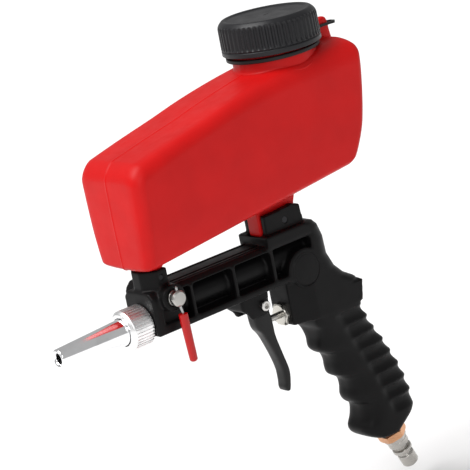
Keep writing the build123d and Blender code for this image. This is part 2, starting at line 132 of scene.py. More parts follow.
def soft_profile(corners, steps=6):
    """A line of (along, radius) with each corner of (along, radius, rounding) eased by a bend.

    The bend is the quadratic curve from the point one rounding before the corner to the point
    one rounding after it, with the corner as its control point."""
    c = np.asarray(corners, float)
    p, bend = c[:, :2], c[:, 2]
    out = [p[:1]]
    t = np.linspace(0, 1, steps)[:, None]
    for k in range(1, len(p) - 1):
        if bend[k] <= 0:
            out.append(p[k:k + 1])
            continue
        before, after = p[k - 1] - p[k], p[k + 1] - p[k]
        a = p[k] + before / np.linalg.norm(before) * min(bend[k], np.linalg.norm(before) / 2)
        b = p[k] + after / np.linalg.norm(after) * min(bend[k], np.linalg.norm(after) / 2)
        out.append((1 - t) ** 2 * a + 2 * t * (1 - t) * p[k] + t ** 2 * b)
    out.append(p[-1:])
    return np.vstack(out)


def across(axis):
    """Two unit directions square to an axis."""
    axis = np.asarray(axis, float) / np.linalg.norm(axis)
    u = np.cross(axis, [0.0, 1.0, 0.0])
    if np.linalg.norm(u) < 0.1:
        u = np.array([1.0, 0.0, 0.0])
    u /= np.linalg.norm(u)
    return axis, u, np.cross(axis, u)


# ---- meshes ----
def make_piece(name, points, quads, body, material, replaced=(), slot=None, sharp=35.0):
    """A closed mesh from points in millimetres and quads, finished, placed and named for its body."""
    mesh = bpy.data.meshes.new(name)
    mesh.from_pydata(points * MM, [], quads.tolist() if hasattr(quads, "tolist") else quads)
    bm = bmesh.new()
    bm.from_mesh(mesh)
    bmesh.ops.remove_doubles(bm, verts=bm.verts, dist=2e-6)
    bmesh.ops.dissolve_degenerate(bm, dist=1e-6, edges=bm.edges)
    open_edges = [e for e in bm.edges if e.is_boundary]
    if open_edges:
        bmesh.ops.holes_fill(bm, edges=open_edges)
    bmesh.ops.recalc_face_normals(bm, faces=bm.faces)
    bm.to_mesh(mesh)
    bm.free()
    mesh.shade_smooth()
    mesh.set_sharp_from_angle(angle=math.radians(sharp))
    mesh.materials.append(material)
    piece = bpy.data.objects.new(name, mesh)
    bpy.context.scene.collection.objects.link(piece)
    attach(piece, body)
    if replaced:
        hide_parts(*replaced)
    return piece


def grid_quads(rows, columns, closed_columns=True):
    """Quad corners of a rows by columns grid of points, wrapped along each row where it is closed."""
    i = np.arange(rows - 1)[:, None]
    j = np.arange(columns if closed_columns else columns - 1)[None, :]
    a = i * columns + j
    b = i * columns + (j + 1) % columns
    c = (i + 1) * columns + (j + 1) % columns
    d = (i + 1) * columns + j
    return np.stack([a, b, c, d], -1).reshape(-1, 4)


def turned(profile, origin, axis, sides=96, shape=None):
    """Points and quads of a turned surface: circles of the profile's radius carried along the axis.

    shape(angle, along, radius) may change the radius, as for flutes or a hexagon."""
    axis, u, v = across(axis)
    angle = np.arange(sides) * (2 * math.pi / sides)
    along, radius = profile[:, 0][:, None], profile[:, 1][:, None] + 0 * angle[None, :]
    if shape is not None:
        radius = shape(angle[None, :], along, radius)
    p = (np.asarray(origin, float) + along[..., None] * axis
         + (radius * np.cos(angle))[..., None] * u + (radius * np.sin(angle))[..., None] * v)
    return p.reshape(-1, 3), grid_quads(len(profile), sides)


def hexagon(flat, rounding=0.35):
    """A radius limit for a hexagon bar: half the flats' distance over the cosine to the nearest flat."""
    def shape(angle, along, radius):
        near = (angle + math.pi / 6) % (math.pi / 3) - math.pi / 6
        return np.minimum(radius, np.minimum(flat / np.cos(near), flat / math.cos(math.pi / 6) - rounding))
    return shape


def carried(path, radius, sides=24):
    """A round section carried along a path of points. The ends close where the radius is nothing."""
    step = np.gradient(path, axis=0)
    step /= np.linalg.norm(step, axis=1)[:, None]
    u = np.cross(step, [0.0, 1.0, 0.0])
    u /= np.linalg.norm(u, axis=1)[:, None]
    v = np.cross(step, u)
    angle = np.arange(sides) * (2 * math.pi / sides)
    r = np.asarray(radius, float)[:, None, None]
    p = (path[:, None, :] + r * np.cos(angle)[None, :, None] * u[:, None, :]
         + r * np.sin(angle)[None, :, None] * v[:, None, :])
    return p.reshape(-1, 3), grid_quads(len(path), sides)


def between(front, back, half, square, sides=64, change=None):
    """Sections between a front and a back line in the XZ plane, each a rounded oblong.

    A section's point is the middle of the two lines plus the half depth times a rounded cosine and
    the half width times a rounded sine, where rounded means raised to 2 / square with its sign kept.
    change(points, angle) may move the points afterwards."""
    angle = np.arange(sides) * (2 * math.pi / sides)
    c, s = np.cos(angle), np.sin(angle)
    power = 2.0 / np.asarray(square, float).reshape(-1, 1)
    cx = np.sign(c) * np.abs(c) ** power
    sy = np.sign(s) * np.abs(s) ** power
    middle, reach = (front + back) / 2, (back - front) / 2
    p = np.zeros((len(front), sides, 3))
    p[..., 0] = middle[:, :1] + reach[:, :1] * cx
    p[..., 2] = middle[:, 1:] + reach[:, 1:] * cx
    p[..., 1] = np.asarray(half, float).reshape(-1, 1) * sy
    if change is not None:
        p = change(p, angle)
    return p.reshape(-1, 3), grid_quads(len(front), sides)


def axis_marks(half, round_r, middle, corner=8, extra=()):
    """Grid lines along one edge of a rounded block: even in the middle, by angle over the roundings."""
    turn = round_r * np.tan(np.linspace(0, math.pi / 4, corner + 1))
    flat = half - round_r
    inner = np.concatenate([np.linspace(-flat, flat, middle), np.asarray(extra, float)])
    return np.unique(np.round(np.concatenate([-flat - turn, inner, flat + turn]), 6))


def rounded_block(half, round_r, middle=(2, 2, 2), corner=6, extra_y=(), warp=None):
    """A block whose edges and corners are rounded: each point of a cube's face grid is pulled to
    the nearest point of the block shrunk by the rounding, and pushed out again by the rounding.
    warp(points) then carries the block onto the piece's own curved faces."""
    half = np.asarray(half, float)
    marks = [axis_marks(half[k], round_r, middle[k], corner, extra_y if k == 1 else ())
             for k in range(3)]
    points, quads, start = [], [], 0
    for k in range(3):
        a, b = (k + 1) % 3, (k + 2) % 3
        for side in (-1, 1):
            ga, gb = np.meshgrid(marks[a], marks[b], indexing="ij")
            p = np.zeros(ga.shape + (3,))
            p[..., k], p[..., a], p[..., b] = side * half[k], ga, gb
            points.append(p.reshape(-1, 3))
            quads.append(grid_quads(*ga.shape, closed_columns=False) + start)
            start += ga.size
    p, q = np.vstack(points), np.vstack(quads)
    core = np.clip(p, -(half - round_r), half - round_r)
    out = p - core
    p = core + round_r * out / np.linalg.norm(out, axis=1)[:, None]
    return (p if warp is None else warp(p)), q


def merged(*surfaces):
    """Several surfaces' points and quads as one."""
    points, quads, start = [], [], 0
    for p, q in surfaces:
        points.append(p)
        quads.append(np.asarray(q) + start)
        start += len(p)
    return np.vstack(points), np.vstack(quads)


# ---- finishes ----
def start_material(name, colour, roughness, metallic=0.0):
    """A material with its Principled shader, whose even values are set on its own sockets."""
    material = bpy.data.materials.new(name)
    material.use_nodes = True
    shader = material.node_tree.nodes["Principled BSDF"]
    shader.inputs["Base Color"].default_value = (*colour, 1.0)
    shader.inputs["Roughness"].default_value = roughness
    shader.inputs["Metallic"].default_value = metallic
    return material, shader


def noise(material, scale, detail=3.0, stretch=(1, 1, 1), turn=(0, 0, 0)):
    """A noise pattern on Object coordinates, in cycles a metre, stretched and turned."""
    nodes, links = material.node_tree.nodes, material.node_tree.links
    place, mapping = nodes.new("ShaderNodeTexCoord"), nodes.new("ShaderNodeMapping")
    pattern = nodes.new("ShaderNodeTexNoise")
    mapping.inputs["Scale"].default_value = stretch
    mapping.inputs["Rotation"].default_value = turn
    pattern.inputs["Scale"].default_value = scale
    pattern.inputs["Detail"].default_value = detail
    links.new(place.outputs["Object"], mapping.inputs["Vector"])
    links.new(mapping.outputs["Vector"], pattern.inputs["Vector"])
    return pattern.outputs["Fac"]


def vary_colour(material, shader, pattern, dark, light, low=0.35, high=0.65):
    """The base colour runs from dark to light with the pattern."""
    ramp = material.node_tree.nodes.new("ShaderNodeValToRGB")
    ramp.color_ramp.elements[0].position, ramp.color_ramp.elements[1].position = low, high
    ramp.color_ramp.elements[0].color = (*dark, 1)
    ramp.color_ramp.elements[1].color = (*light, 1)
    material.node_tree.links.new(pattern, ramp.inputs["Fac"])
    material.node_tree.links.new(ramp.outputs["Color"], shader.inputs["Base Color"])


def vary_roughness(material, shader, pattern, low, high):
    """The roughness runs from low to high with the pattern."""
    spread = material.node_tree.nodes.new("ShaderNodeMapRange")
    spread.inputs["From Min"].default_value, spread.inputs["From Max"].default_value = 0.3, 0.7
    spread.inputs["To Min"].default_value, spread.inputs["To Max"].default_value = low, high
    material.node_tree.links.new(pattern, spread.inputs["Value"])
    material.node_tree.links.new(spread.outputs["Result"], shader.inputs["Roughness"])


def add_bumps(material, shader, *layers):
    """Bumps laid one on another, each (pattern, height in millimetres, strength)."""
    nodes, links = material.node_tree.nodes, material.node_tree.links
    below = None
    for pattern, height, strength in layers:
        bump = nodes.new("ShaderNodeBump")
        bump.inputs["Distance"].default_value = height * MM
        bump.inputs["Strength"].default_value = strength
        links.new(pattern, bump.inputs["Height"])
        if below is not None:
            links.new(below, bump.inputs["Normal"])
        below = bump.outputs["Normal"]
    links.new(below, shader.inputs["Normal"])


def shade(colour, factor):
    """A colour made darker or lighter."""
    return tuple(min(1.0, c * factor) for c in colour)


def moulded(name, colour, roughness, grain=0.5, gloss=0.5):
    """Moulded plastic: faint mottling, uneven sheen, and a fine grain over a soft orange peel."""
    material, shader = start_material(name, colour, roughness)
    shader.inputs["Specular IOR Level"].default_value = gloss
    vary_colour(material, shader, noise(material, 45, 4), shade(colour, 0.95), shade(colour, 1.04))
    vary_roughness(material, shader, noise(material, 130, 3), roughness - 0.05, roughness + 0.07)
    add_bumps(material, shader, (noise(material, 190, 2), 0.08, 0.35 * grain),
              (noise(material, 1900, 2), 0.03, grain))
    return material


def machined(name, colour, roughness, stretch, turn=(0, 0, 0), lines=0.35):
    """Turned metal: fine rings square to the axis, faint stains and a slightly uneven polish."""
    material, shader = start_material(name, colour, roughness, 1.0)
    rings = noise(material, 60, 4, stretch, turn)
    vary_colour(material, shader, noise(material, 70, 3), shade(colour, 0.9), shade(colour, 1.05))
    vary_roughness(material, shader, rings, roughness * 0.75, roughness * 1.35)
    add_bumps(material, shader, (rings, 0.02, lines), (noise(material, 420, 2), 0.02, 0.12))
    return material


class Finishes:
    """The finishes of the gun's pieces, made once from the colours in the panel."""

    def __init__(self, colours):
        red, black = tuple(colours.hopper), tuple(colours.body)
        rings_x, rings_y, rings_z = (60, 0.6, 0.6), (0.6, 60, 0.6), (0.6, 0.6, 60)
        self.hopper = moulded("hopper_red", red, 0.42, 0.4, 0.14)
        self.body = moulded("body_black", black, 0.42, 0.7, 0.12)
        self.cap = moulded("cap_black", tuple(colours.cap), 0.4, 0.7, 0.28)
        self.tether = moulded("tether_black", shade(black, 0.8), 0.5, 0.5, 0.3)
        self.trigger = moulded("trigger_black", shade(black, 0.9), 0.34, 0.5, 0.26)
        self.vinyl = moulded("sleeve_red", tuple(colours.sleeve), 0.22, 0.2, 0.35)
        self.rubber = moulded("seal_rubber", (0.012, 0.012, 0.012), 0.65, 1.0, 0.3)
        self.nozzle = machined("nozzle_chrome", (0.93, 0.93, 0.94), 0.11, rings_x, lines=0.12)
        self.aluminium = machined("nut_aluminium", (0.94, 0.94, 0.94), 0.32, rings_x, lines=0.3)
        self.steel = machined("spindle_steel", (0.42, 0.41, 0.39), 0.3, rings_y)
        self.bright = machined("screw_bright", (0.6, 0.59, 0.57), 0.22, rings_y)
        self.black_steel = machined("screw_black", (0.03, 0.03, 0.032), 0.4, rings_y)
        self.wire = machined("wire_steel", (0.36, 0.36, 0.36), 0.24, rings_z)
        self.nickel = machined("gland_nickel", (0.6, 0.58, 0.53), 0.24, rings_x)
        self.plug = machined("plug_nickel", (0.5, 0.48, 0.45), 0.24, rings_z, (0, -RAKE, 0))
        self.brass = machined("inlet_brass", (0.68, 0.36, 0.2), 0.3, rings_z, (0, -RAKE, 0))


_finishes = []


def finishes():
    """The finishes, made on first use."""
    if not _finishes:
        _finishes.append(Finishes(bpy.context.scene.blast_gun_colours))
    return _finishes[0]


# ---- sizes and colours a user may change ----
def length_setting(name, about, start, low, high):
    """A length in the panel, given in millimetres."""
    return FloatProperty(name=name, description=about, default=start * MM, min=low * MM,
                         max=high * MM, subtype="DISTANCE", unit="LENGTH")


def colour_setting(name, about, start):
    """A colour in the panel."""
    return FloatVectorProperty(name=name, description=about, subtype="COLOR", size=3, default=start,
                               min=0, max=1)


class BlastGunSizes(bpy.types.PropertyGroup):
    cap_flutes: IntProperty(name="Cap flutes", description="Flutes round the hopper cap's skirt",
                            default=54, min=12, max=90)
    nut_flutes: IntProperty(name="Nut flutes", description="Flutes round the nozzle nut",
                            default=38, min=12, max=60)
    rib_depth: length_setting("Rib depth", "Depth of the grooves between the grip's ribs", 2.0, 0, 3)
    seam_height: length_setting("Seam height", "Height of the hopper's mould seam", 0.35, 0, 1)
    body_cell: length_setting("Body cell", "Cell that sets how soft the body's edges are", 0.84, 0.4, 2)


class BlastGunColours(bpy.types.PropertyGroup):
    hopper: colour_setting("Hopper", "Colour of the hopper", (0.5, 0.006, 0.006))
    body: colour_setting("Body", "Colour of the body moulding", (0.0042, 0.004, 0.0042))
    cap: colour_setting("Cap", "Colour of the cap", (0.009, 0.009, 0.0105))
    sleeve: colour_setting("Sleeve", "Colour of the lever's sleeve", (0.42, 0.003, 0.003))


# ---- hopper ----
# The tank's faces as tables: roof and shoulder heights along X, rear face and half width up Z.
ROOF = np.array([(56, 99.4), (62, 101), (90, 107.4), (117, 113.3), (141, 119.1), (172, 125.4),
                 (200, 129.8), (225, 132.7), (250, 134.0)])
SHOULDER = np.array([(56, 12.5), (80, 10.5), (110, 9.2), (140, 9.4), (165, 11.0), (200, 14.5),
                     (230, 17.0), (250, 17.5)])
REAR = np.array([(36, 222.0), (54, 227.5), (60, 231.6), (67.6, 235.6), (76, 239.2), (84, 241.4),
                 (100, 244.8), (117, 247.2), (127, 246.8), (136, 243.4)])
SIDE = np.array([(34, 25.4), (40, 26.8), (46, 28.0), (60, 29.9), (83, 31.1), (100, 31.2), (140, 31.2)])
TANK_HALF, TANK_ROUND = 31.2, 6.0
FLOOR_START, FLOOR_LOW, FLOOR_SLOPE = 60, 36.4, 0.1096


def read_table(table, at):
    """The table's smooth curve read at given places."""
    fine = smooth_curve(table, 200)
    return np.interp(at, fine[:, 0], fine[:, 1])


def hopper_floor(x, side):
    """Height of the tank's underside: it rises to the rear and dips towards the middle."""
    return FLOOR_LOW + FLOOR_SLOPE * (x - FLOOR_START) - 1.4 * (1 - side ** 2)


def hopper_roof(x, side):
    """Height of the roof: a faint camber, then a shoulder at each side that grows to the rear.

    The shoulder is a quarter ellipse of the table's height, less the block's own rounding."""
    reach = read_table(SHOULDER, x)
    t = np.clip((np.abs(side) * TANK_HALF - (TANK_HALF - reach)) / reach, 0, 1)
    return read_table(ROOF, x) - 0.7 * side ** 2 - (reach - TANK_ROUND + 0.8) * (1 - np.sqrt(1 - t ** 2))


def tank_surface(seam):
    """The tank: a rounded block carried onto the sloping floor, leaning front, bulging rear and
    shouldered roof. Block heights run from floor to roof and block lengths from front to rear."""
    half, round_r = np.array([93.5, TANK_HALF, 38.0]), TANK_ROUND
    extra = (-2.2, -1.2, -0.7, -0.35, 0, 0.35, 0.7, 1.2, 2.2)

    def warp(p):
        ridge = seam * np.exp(-(p[:, 1] / 0.55) ** 2)
        side = p[:, 1] / half[1]
        up = (p[:, 2] + half[2]) / (2 * half[2])
        low = round_r / (2 * half[2])
        up = np.where(up < low, up * 0.7, 0.7 * low + (up - low) * (1 - 0.7 * low) / (1 - low))
        back = (p[:, 0] + half[0]) / (2 * half[0])
        x = 58 + 187 * back
        for _ in range(4):
            floor = hopper_floor(x, side)
            z = floor + (hopper_roof(x, side) - floor) * up
            front = 58.4 + 0.012 * (z - 36) - 0.5 * np.sin(math.pi * np.clip(up, 0, 1)) * (1 - side ** 2)
            front = front + 3.2 * ease(up, 0.86, 1.0) + 1.4 * ease(np.abs(side), 0.6, 1.0) ** 2
            x = front + (read_table(REAR, z) - front) * back
        y = p[:, 1] * read_table(SIDE, z) / TANK_HALF
        z = z + ridge * (2 * ease(up, 0.3, 0.7) - 1) * ease(np.minimum(up, 1 - up), 0.2, 0.0)
        x = x + ridge * np.where(back < 0.5, -1, 1) * ease(np.minimum(back, 1 - back), 0.05, 0.0)
        return np.stack([x, y, z], 1)

    return rounded_block(half, round_r, (70, 40, 26), 7, extra, warp)


def neck_surface(seam):
    """The filler neck: a tube flared into the roof, with a screw thread under the cap.

    Its radius is the neck's, plus a quarter-circle flare over the roof, plus a helical bead."""
    sides, radius, flare = 192, NECK_R, 2.6
    angle = np.arange(sides) * (2 * math.pi / sides)
    turn = np.linspace(0, math.pi / 2, 8)[:, None]
    foot_r = radius + flare * (1 - np.sin(turn)) + 0 * angle
    x, y = CAP_CENTRE[0] + foot_r * np.cos(angle), foot_r * np.sin(angle)
    roof = hopper_roof(x, np.clip(y / TANK_HALF, -1, 1))
    foot_z = roof[:1] + flare * (1 - np.cos(turn)) - 0.5
    skirt = np.vstack([foot_z[:1] - 6, foot_z])
    skirt_r = np.vstack([foot_r[:1], foot_r])
    t = np.linspace(0, 1, 60)[1:, None]
    top = SEAL_LOW[2] - 0.1
    wall_z = foot_z[-1:] + (top - foot_z[-1:]) * t
    bead = 1.15 * np.exp(-((((wall_z - 141.6) / 4.0 - angle / (2 * math.pi) + 0.5) % 1 - 0.5) / 0.16) ** 2)
    bead *= ease(wall_z, 140.5, 142) * (1 - ease(wall_z, top - 2.8, top - 1.3))
    off = angle % math.pi
    off = np.minimum(off, math.pi - off) * radius
    line = seam * (np.exp(-((off - 1.9) / 0.45) ** 2) + np.exp(-(off / 0.45) ** 2))
    wall_r = radius + bead + line * (1 - ease(wall_z, 136.5, 138))
    rim_z = np.array([[top], [top], [122.0], [122.0]]) + 0 * angle
    rim_r = np.array([[radius - 0.6], [NECK_BORE], [NECK_BORE], [0.0]]) + 0 * angle
    z, r = np.vstack([skirt, wall_z, rim_z]), np.vstack([skirt_r, wall_r, rim_r])
    p = np.stack([CAP_CENTRE[0] + r * np.cos(angle), r * np.sin(angle), z], -1)
    return p.reshape(-1, 3), grid_quads(len(z), sides)


def block_between(low, high, round_r, taper=None, corner=4):
    """A rounded block given by its limits, in millimetres; taper(points) may reshape it."""
    low, high = np.asarray(low, float), np.asarray(high, float)
    half, centre = (high - low) / 2, (high + low) / 2

    def place(p):
        p = p + centre
        return p if taper is None else taper(p)

    return rounded_block(half, round_r, (3, 3, 3), corner, warp=place)


def outlet_foot(p):
    """Cuts the outlet foot's front corners off, and spreads it into a funnel up to the tank."""
    grow = ease(p[:, 2], 32.8, 40.5)
    reach = np.minimum(1, (3.1 + 1.42 * (p[:, 0] - 67.7)) / 10.8)
    return np.stack([72.75 + (p[:, 0] - 72.75) * (1 + 0.95 * grow), p[:, 1] * reach * (1 + 0.75 * grow),
                     p[:, 2]], 1)


def rear_foot_flare(p):
    """Spreads the rear foot a little where it meets the tank."""
    grow = ease(p[:, 2], 41, 50)
    return np.stack([p[:, 0] + grow * (2.5 * (p[:, 0] > 172) - 1.5 * (p[:, 0] < 172)),
                     p[:, 1] * (1 + 0.5 * grow), p[:, 2]], 1)


def lug_surface():
    """The strap's lug: a tongue whose front and back lines close over a round top."""
    up, front, back, half = smooth_curve([
        (126, 236.2, 249.6, 2.7), (132, 237.2, 248.8, 2.6), (136, 238.0, 248.2, 2.55),
        (139.5, 238.6, 247.9, 2.5), (142.5, 239.4, 247.4, 2.45), (144.4, 240.6, 246.3, 2.2),
        (145.2, 242.0, 244.9, 1.5), (145.3, 243.2, 243.8, 0.6)], 60).T
    return between(np.stack([front, up], 1), np.stack([back, up], 1), half, 3.2 + 0 * up, 40)


class BLASTGUN_OT_hopper(bpy.types.Operator):
    """Build the tank with its neck, feet and lug"""
    bl_idname = "blastgun.hopper"
    bl_label = "Hopper"

    def execute(self, context):
        seam = context.scene.blast_gun_sizes.seam_height / MM
        red = finishes().hopper
        make_piece("hopper_tank", *tank_surface(seam), "frame", red, ("hopper",), "hopper_plastic", 60)
        make_piece("hopper_neck", *neck_surface(seam), "frame", red, ("hopper",), "hopper_plastic", 50)
        feet = merged(block_between((67.7, -10.8, 21.1), (78.3, 10.8, 43), 0.9, outlet_foot),
                      block_between((159.5, -5.95, 24.1), (190.1, 5.95, 52.5), 1.2, rear_foot_flare))
        make_piece("hopper_feet", *feet, "frame", red, ("hopper",), "hopper_plastic", 50)
        make_piece("hopper_lug", *lug_surface(), "frame", red, ("hopper",), "hopper_plastic", 60)
        return {"FINISHED"}


# ---- cap and tether ----
def cap_surface(flutes):
    """The cap: a turned shell whose skirt has flutes, each a cosine lobe cut into the radius."""
    low, high = CAP_LOW[2], CAP_HIGH[2]
    profile = soft_profile([
        (high - 1.0, 0, 0), (high - 1.0, CAP_R - 6.6, 0.9), (high - 0.05, CAP_R - 5.2, 0.9),
        (high, CAP_R - 3.4, 1.0), (high - 3.2, CAP_R - 0.25, 2.4), (low + 4.0, CAP_R - 0.1, 0.2),
        (low + 3.4, CAP_R - 0.75, 0.3), (low + 2.9, CAP_R - 0.1, 0.3), (low, CAP_R - 0.1, 0.5),
        (low, 28.7, 0.3), (high - 3, 28.7, 0.3), (high - 3, 0, 0)], 7)
    cuts = []
    for a, b in zip(profile[:-1], profile[1:]):
        steps = max(1, int(np.linalg.norm(b - a) / 1.2)) if a[1] > CAP_R - 1 else 1
        cuts.append(a + (b - a) * np.arange(steps)[:, None] / steps)
    profile = np.vstack(cuts + [profile[-1:]])

    def flute(angle, along, radius):
        lobe = np.clip(0.5 + 0.85 * np.cos(angle * flutes), 0, 1)
        zone = ease(along, low + 4.0, low + 4.9) * (1 - ease(along, high - 4.2, high - 2.4))
        return radius - 0.95 * (1 - lobe) * zone * (radius > CAP_R - 1.5)

    return turned(profile, (CAP_CENTRE[0], 0, 0), (0, 0, 1), flutes * 12, flute)


def tether_surfaces():
    """The strap's ring, a tilted round-cornered band, and the strap from it round the lug."""
    tilt = math.tan(math.radians(2.0))
    ring = soft_profile([(133.9, 28.4, 0), (133.9, 30.0, 0.5), (136.3, 30.0, 0.5), (136.3, 26.8, 0.4),
                         (133.9, 26.8, 0.4), (133.9, 28.4, 0)], 4)
    p, q = turned(ring, (CAP_CENTRE[0], 0, 0), (0, 0, 1), 128)
    p[:, 2] += (p[:, 0] - CAP_CENTRE[0] - 30) * tilt * 0.5
    line = smooth_curve([(229.5, 135.6), (233.4, 135.7), (236.2, 138.0), (239, 140.1), (246, 140.3),
                         (253.4, 140.1)], 70)
    across_y = np.linspace(-1, 1, 25)
    thick = 0.8
    step = np.gradient(line, axis=0)
    normal = np.stack([-step[:, 1], step[:, 0]], 1) / np.linalg.norm(step, axis=1)[:, None]
    t = np.linspace(0, 1, len(line))
    outer = 3.6 + 1.0 * ease(t, 0.35, 0.5)
    outer = outer * np.sqrt(np.clip(1 - ease(t, 0.9, 1.0) ** 2 * 0.75, 0.05, 1))
    inner = 3.0 * np.sqrt(np.clip(1 - ((t - 0.735) / 0.225) ** 4, 0, 1)) * (np.abs(t - 0.735) < 0.225)
    strips = []
    for side in (-1, 1):
        edge = 0.5 * (1 + across_y)
        y = side * (inner[:, None] + (outer - inner)[:, None] * edge[None, :])
        top, low = (np.stack([skin[:, :1] + 0 * y, y, skin[:, 1:] + 0 * y], -1)
                    for skin in (line + normal * thick, line - normal * thick))
        loop = np.concatenate([top, low[:, ::-1]], 1)
        strips.append((loop.reshape(-1, 3), grid_quads(len(line), loop.shape[1])))
    return (p, q), strips


class BLASTGUN_OT_cap(bpy.types.Operator):
    """Build the screw cap, its vent and the strap that keeps it"""
    bl_idname = "blastgun.cap"
    bl_label = "Cap and strap"

    def execute(self, context):
        cap = finishes().cap
        flutes = context.scene.blast_gun_sizes.cap_flutes
        make_piece("cap_shell", *cap_surface(flutes), "cap", cap, ("hopper_cap",), "cap_plastic", 40)
        x, top = CAP_CENTRE[0], CAP_HIGH[2] - 1.0
        vent = block_between((x - 1.9, -0.55, top - 0.6), (x + 1.9, 0.55, top + 0.12), 0.1)
        make_piece("cap_vent", *vent, "cap", finishes().rubber, slot="cap_plastic")
        ring, strips = tether_surfaces()
        black = finishes().tether
        make_piece("tether_ring", *ring, "frame", black, ("cap_tether",), "tether_plastic")
        for name, strip in zip(("tether_strap_near", "tether_strap_far"), strips):
            make_piece(name, *strip, "frame", black, ("cap_tether",), "tether_plastic")
        return {"FINISHED"}


# ---- body ----
FRONT_LINE = [(188.0, -34), (184.3, -39), (184.8, -43.5), (187.0, -47.5), (187.6, -53.5), (186.9, -60.5),
              (190.0, -64.6), (194.9, -67.6), (196.9, -73), (196.8, -78.8), (197.8, -83.0), (202.2, -86.2),
              (205.6, -89.4), (206.5, -95), (205.5, -101.2), (207.4, -105.6), (211.5, -109.0), (212.4, -113),
              (211.2, -119.5), (208.6, -125.0), (209.4, -128.6), (212.3, -131.6), (218.5, -135.0),
              (225.2, -137.6)]
BACK_LINE = [(221.5, -34), (225.4, -43.0), (230.4, -51), (236.2, -61.3), (241.7, -71.4), (246.4, -81.6),
             (250.7, -91.8), (254.0, -101.9), (255.6, -111.3), (255.8, -119), (252.8, -125.3),
             (246.7, -129.6), (241, -132.6), (236, -135.4), (231, -137.1), (226.2, -137.7)]


def grip_surface(depth):
    """The grip: level sections between the finger-grooved front and the back, with level grooves.

    A groove's depth is a scallop of the height between two ribs, and it fades towards mid-side."""
    levels = np.concatenate([np.linspace(-34, -130, 260), -130 - 7.65 * np.linspace(0, 1, 40)[1:] ** 0.7])

    def line(points):
        fine = smooth_curve(points, 600)
        order = np.argsort(-fine[:, 1])
        return np.interp(-levels, -fine[order, 1], fine[order, 0])

    front, back = line(FRONT_LINE), line(BACK_LINE)
    full = ease(-levels, 105, 120) + 1 - ease(-levels, 38, 58)
    half = 14.6 - 1.1 * np.exp(-((levels + 75) / 26) ** 2) + 0.4 * full
    half = half * np.sqrt(np.clip((levels + 138.6) / 4.5, 0.02, 1))
    square = 2.9 + 0.5 * ease(-levels, 108, 128) + 5 * (1 - ease(-levels, 36, 60)) ** 1.5
    pitch, first = 10.1, -40.8
    phase = (first - levels) / pitch
    inside = (phase > 0) & (phase < 8)
    scallop = np.where(inside, np.sin(math.pi * (phase % 1) ** 0.72) ** 0.9, 0.0)

    def ribs(p, angle):
        start = 197.5 + (first - p[..., 2]) * math.tan(RAKE) - 1.2 * np.clip(phase - 5, 0, 3)[:, None]
        fade = ease(p[..., 0], start, start + 7.0)
        cut = depth * scallop[:, None] * fade
        middle = 0.5 * (front + back)[:, None]
        out = np.stack([p[..., 0] - middle, p[..., 1] * 1.6], -1)
        out /= np.maximum(np.linalg.norm(out, axis=-1, keepdims=True), 1e-6)
        p[..., 0] -= cut * out[..., 0]
        p[..., 1] -= cut * out[..., 1]
        return p

    front_line, back_line = np.stack([front, levels], 1), np.stack([back, levels], 1)
    return between(front_line, back_line, half, square, GRIP_SIDES, ribs)


HUB_BACK = [(194.5, 26.5), (200.5, 24), (203.8, 20.5), (206.4, 12), (206.9, 0), (211.3, -10),
            (218, -17.3), (226.8, -22.9), (226.8, -24.5)]


def round_hub(p):
    """Rounds the hub's back across: near the back the half width is a circle's, 12 mm in radius."""
    line, radius = np.array(HUB_BACK), 12.0
    zone = (p[:, 0] > 180) & (p[:, 2] > line[-1, 1]) & (p[:, 2] < line[0, 1])
    back = np.interp(-p[:, 2], -line[:, 1], line[:, 0])
    t = np.clip((p[:, 0] - back + radius) / radius, 0, 1)
    limit = BODY_HALF - radius + radius * np.sqrt(1 - t ** 2)
    wide = zone & (np.abs(p[:, 1]) > limit)
    p[wide, 1] = np.sign(p[wide, 1]) * limit[wide]
    return p


def body_mesh(depth, cell):
    """The body moulding: the beam and hub from the frame and the hand-shaped grip, joined in cells
    of one size. Each point is averaged with its neighbours to soften every edge, and the hub's back
    is then rounded across."""
    bm = bmesh.new()
    for node in ("gun_body", "barrel_housing"):
        mesh = NODES[node].data
        start = len(bm.verts)
        bm.from_mesh(mesh)
        bm.verts.ensure_lookup_table()
        if node == "barrel_housing":
            for vert in bm.verts[start:]:
                if vert.co.x > BODY_JOINT - 1e-5:
                    vert.co.x += OVERLAP
    bmesh.ops.remove_doubles(bm, verts=bm.verts, dist=1e-6)
    points, quads = grip_surface(depth)
    start = len(bm.verts)
    verts = [bm.verts.new(p * MM) for p in points]
    bm.verts.ensure_lookup_table()
    for quad in quads:
        bm.faces.new([verts[k] for k in quad])
    bm.faces.new(verts[:GRIP_SIDES][::-1])
    bm.faces.new(verts[-GRIP_SIDES:])
    mesh = bpy.data.meshes.new("body_shell")
    bm.to_mesh(mesh)
    bm.free()
    shell = bpy.data.objects.new("body_shell", mesh)
    bpy.context.scene.collection.objects.link(shell)
    remesh = shell.modifiers.new("join", "REMESH")
    remesh.mode, remesh.voxel_size, remesh.use_smooth_shade = "VOXEL", cell, True
    soften = shell.modifiers.new("soften", "SMOOTH")
    soften.factor, soften.iterations = 0.5, 3
    graph = bpy.context.evaluated_depsgraph_get()
    done = bpy.data.meshes.new_from_object(shell.evaluated_get(graph))
    shell.modifiers.clear()
    shell.data = done
    places = np.empty(3 * len(done.vertices))
    done.vertices.foreach_get("co", places)
    done.vertices.foreach_set("co", (round_hub(places.reshape(-1, 3) / MM) * MM).ravel())
    done.update()
    return shell


